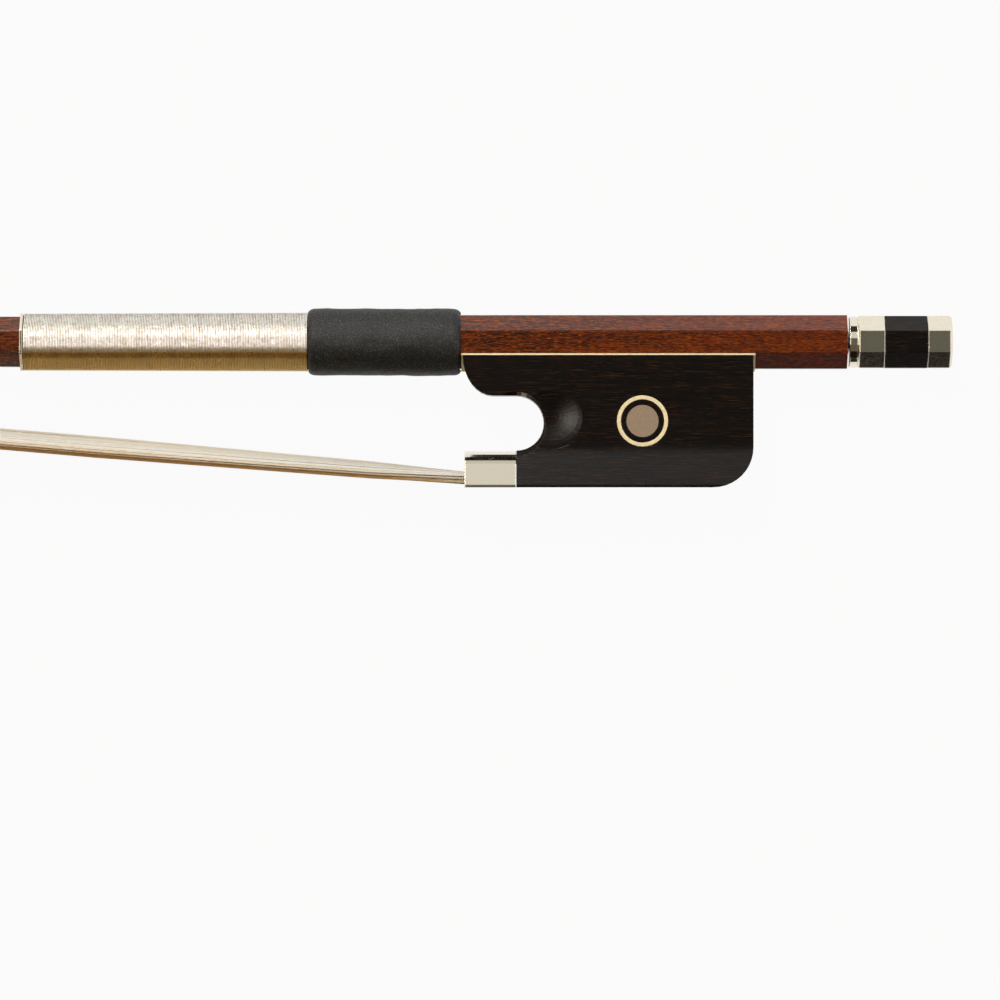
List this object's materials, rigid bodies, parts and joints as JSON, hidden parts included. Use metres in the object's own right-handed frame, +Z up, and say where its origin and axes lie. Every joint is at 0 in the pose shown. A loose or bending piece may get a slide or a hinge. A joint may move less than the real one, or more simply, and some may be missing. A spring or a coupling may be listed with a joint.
{
  "type": "viola bow",
  "caption": "Octagonal viola bow with a cambered stick, ebony screw frog, silver winding, leather grip and a ribbon of hair.",
  "frame": {"origin": "on the floor under the centre of the bow's bounding box, with the bow lying on its side", "axes": "+X along the handle towards the screw button, +Y from the hair towards the back of the stick, +Z up through the thickness"},
  "size_m": [0.7428, 0.0906, 0.0138],
  "materials": {
    "pernambuco": "polished",
    "ebony": "polished",
    "silver": "polished",
    "silver_wire": "drawn",
    "brass": "satin",
    "steel": "satin",
    "pearl": "polished",
    "bone": "satin",
    "maple": "bare",
    "thread": "bound",
    "silk": "woven",
    "leather": "worn",
    "hair": "horsehair"
  },
  "bodies": {
    "stick": {"stick": "pernambuco", "tip_liner": "ebony", "tip_plate": "bone", "tip_plug": "maple", "tip_hair_knot": "thread", "leather_grip": "leather", "winding_sleeve": "silk", "winding_wire": "silver_wire", "hair_ribbon": "hair"},
    "frog": {"frog_body": "ebony", "underslide": "silver", "underslide_screw_1": "brass", "underslide_screw_2": "brass", "ferrule": "silver", "ferrule_wedge": "maple", "pearl_slide": "pearl", "slide_carrier": "ebony", "eye_ring_near": "silver", "eye_ring_far": "silver", "eye_pearl_near": "pearl", "eye_pearl_far": "pearl", "eyelet": "brass", "frog_plug": "maple", "frog_hair_knot": "thread"},
    "screw": {"screw_rod": "steel", "button_collar": "silver", "button_core": "ebony", "button_end_cap": "silver"}
  },
  "joints": [
    {"name": "screw_turn", "type": "hinge", "parent": "stick", "child": "screw", "pos_m": [0.35404, -0.02109, 0.0069], "axis": [-1, 0, 0], "range_deg": [0, 2880]},
    {"name": "frog_slide", "type": "slide", "parent": "stick", "child": "frog", "axis": [1, 0, 0], "range_m": [0, 0.006], "deforming": ["hair_ribbon"]}
  ],
  "couplings": [
    {"joint": "screw_turn", "follows": "frog_slide", "rad_per_m": 8377.6}
  ]
}
